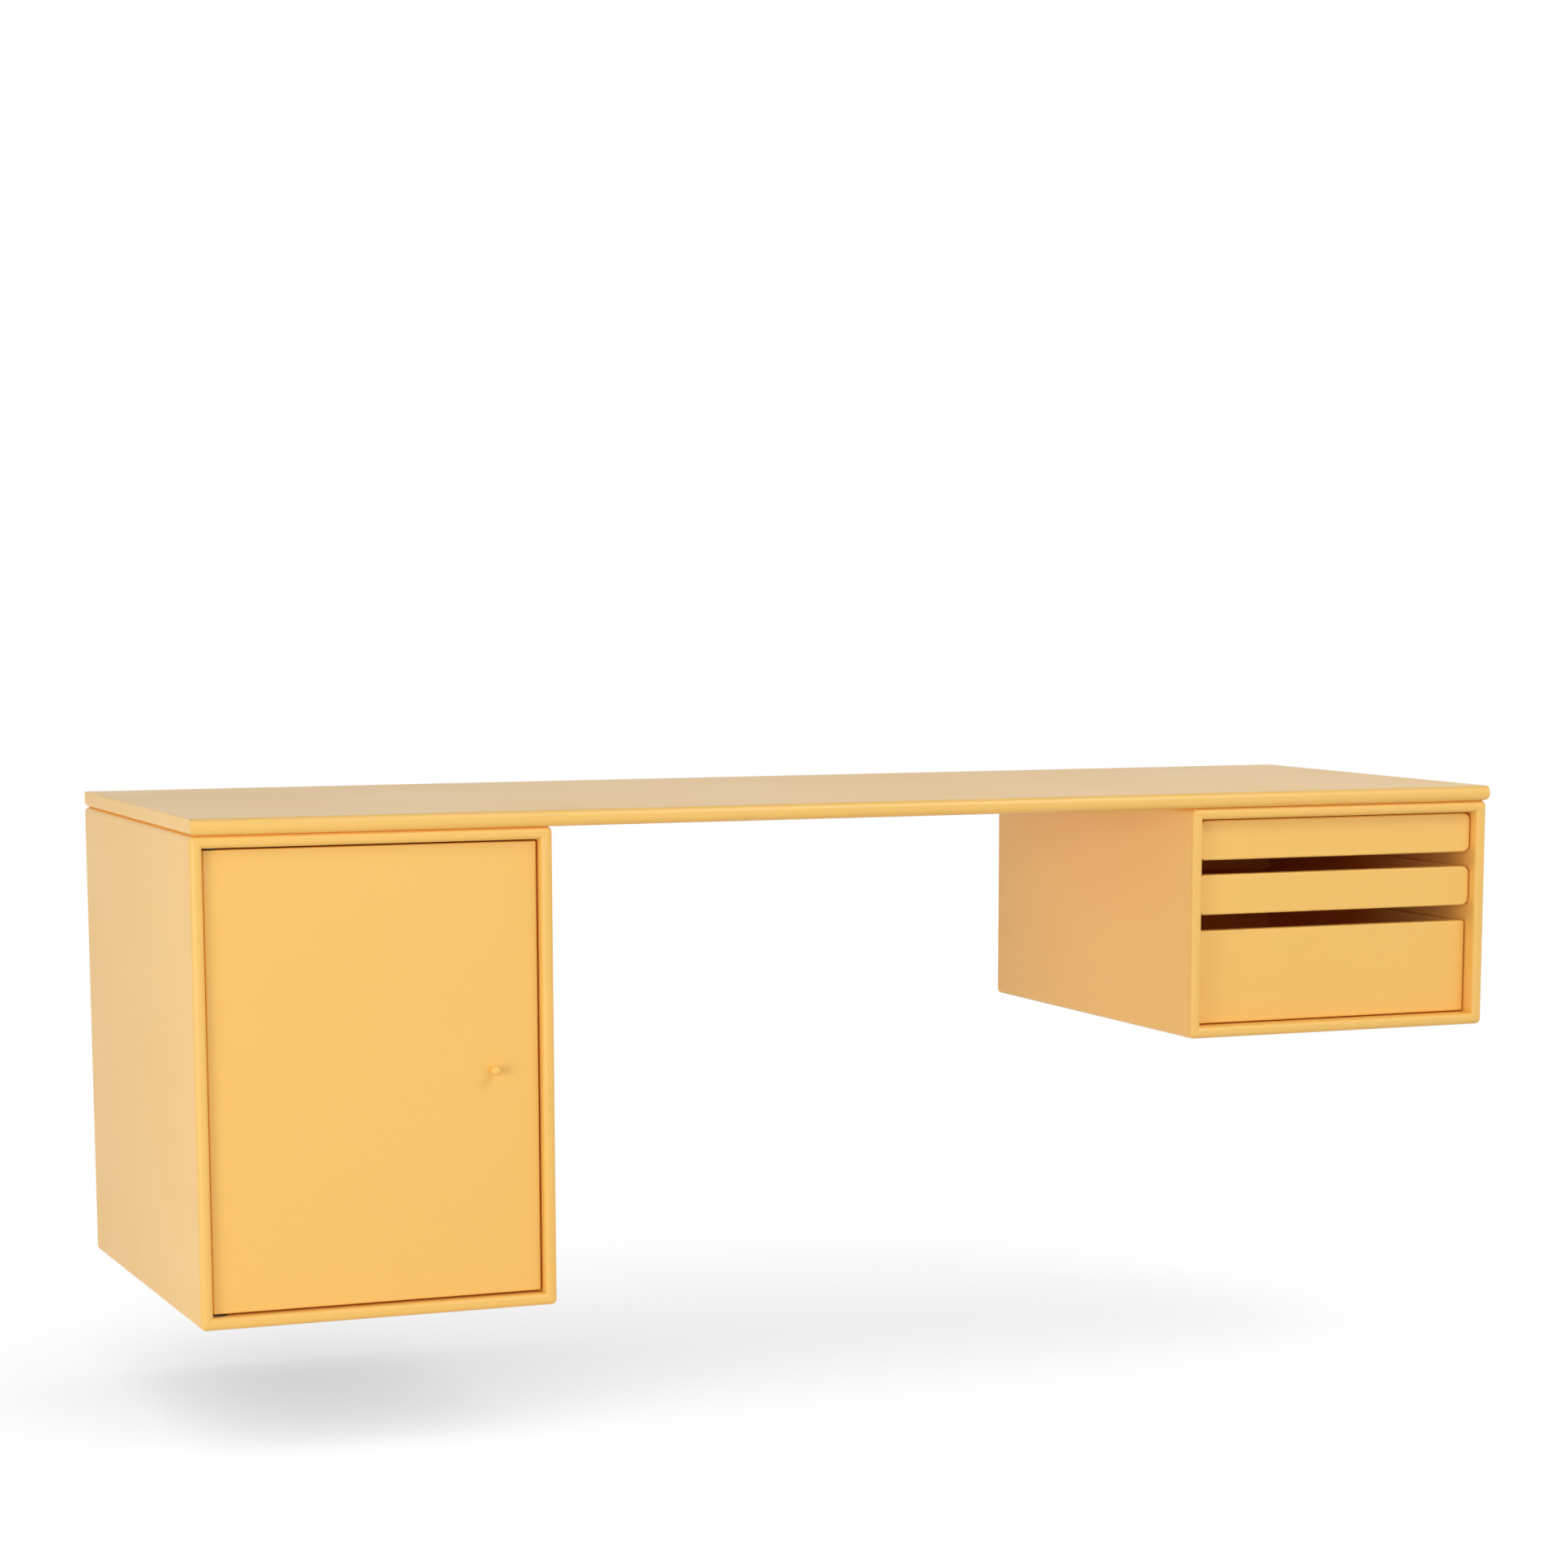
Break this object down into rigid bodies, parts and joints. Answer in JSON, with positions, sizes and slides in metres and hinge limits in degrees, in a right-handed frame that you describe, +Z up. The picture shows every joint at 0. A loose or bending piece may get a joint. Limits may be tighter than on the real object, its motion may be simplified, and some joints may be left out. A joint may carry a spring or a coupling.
{
  "type": "floating wall desk",
  "caption": "Wall-hung desk: a tabletop with rounded edges on a cabinet with an inset hinged door at one end and a unit with sliding trays and a drawer at the other.",
  "frame": {"origin": "on the wall, midway along the desk, at the height of the wall screws that hold its rails", "axes": "+X along the wall to the right as seen from the seat, +Y into the wall, +Z up"},
  "size_m": [1.404, 0.4745, 0.484],
  "materials": {
    "lacquered_board": "satin sprayed lacquer on medium-density fibreboard",
    "lacquered_knob": "satin",
    "zinc_plated_steel": "zinc plated",
    "moulded_nylon": "moulded",
    "catch_plastic": "moulded",
    "ferrite_magnet": "ground",
    "beech_spline": "bare"
  },
  "bodies": {
    "carcass": {"bracket_screws": "zinc_plated_steel", "cabinet_back_board": "lacquered_board", "cabinet_bottom_board": "lacquered_board", "cabinet_corner_splines": "beech_spline", "cabinet_left_board": "lacquered_board", "cabinet_right_board": "lacquered_board", "cabinet_shelf": "lacquered_board", "cabinet_top_board": "lacquered_board", "cabinet_wall_rail": "zinc_plated_steel", "catch_housing": "catch_plastic", "catch_magnet": "ferrite_magnet", "catch_screws": "zinc_plated_steel", "door_pivot_bushes": "moulded_nylon", "drawer_left_runner": "moulded_nylon", "drawer_right_runner": "moulded_nylon", "hanging_brackets": "zinc_plated_steel", "lower_tray_left_runner": "moulded_nylon", "lower_tray_right_runner": "moulded_nylon", "runner_screws": "zinc_plated_steel", "runner_stop_pins": "moulded_nylon", "shelf_pegs": "zinc_plated_steel", "tabletop": "lacquered_board", "tabletop_screws": "zinc_plated_steel", "unit_back_board": "lacquered_board", "unit_bottom_board": "lacquered_board", "unit_corner_splines": "beech_spline", "unit_left_board": "lacquered_board", "unit_right_board": "lacquered_board", "unit_top_board": "lacquered_board", "unit_wall_rail": "zinc_plated_steel", "upper_tray_left_runner": "moulded_nylon", "upper_tray_right_runner": "moulded_nylon"},
    "door": {"door": "lacquered_board", "door_pivot_pins": "zinc_plated_steel", "door_knob": "lacquered_knob", "door_knob_screw": "zinc_plated_steel", "strike_plate": "zinc_plated_steel", "strike_plate_screws": "zinc_plated_steel"},
    "upper_tray": {"upper_tray_front": "lacquered_board", "upper_tray_left_wall": "lacquered_board", "upper_tray_right_wall": "lacquered_board", "upper_tray_back_wall": "lacquered_board", "upper_tray_floor": "lacquered_board"},
    "lower_tray": {"lower_tray_front": "lacquered_board", "lower_tray_left_wall": "lacquered_board", "lower_tray_right_wall": "lacquered_board", "lower_tray_back_wall": "lacquered_board", "lower_tray_floor": "lacquered_board"},
    "drawer": {"drawer_front": "lacquered_board", "drawer_left_wall": "lacquered_board", "drawer_right_wall": "lacquered_board", "drawer_back_wall": "lacquered_board", "drawer_floor": "lacquered_board"}
  },
  "joints": [
    {"name": "door_hinge", "type": "hinge", "parent": "carcass", "child": "door", "pos_m": [-0.681, -0.454, 0], "axis": [0, 0, -1], "range_deg": [0, 95]},
    {"name": "upper_tray_slide", "type": "slide", "parent": "carcass", "child": "upper_tray", "axis": [0, -1, 0], "range_m": [0, 0.3]},
    {"name": "lower_tray_slide", "type": "slide", "parent": "carcass", "child": "lower_tray", "axis": [0, -1, 0], "range_m": [0, 0.3]},
    {"name": "drawer_slide", "type": "slide", "parent": "carcass", "child": "drawer", "axis": [0, -1, 0], "range_m": [0, 0.3]}
  ]
}
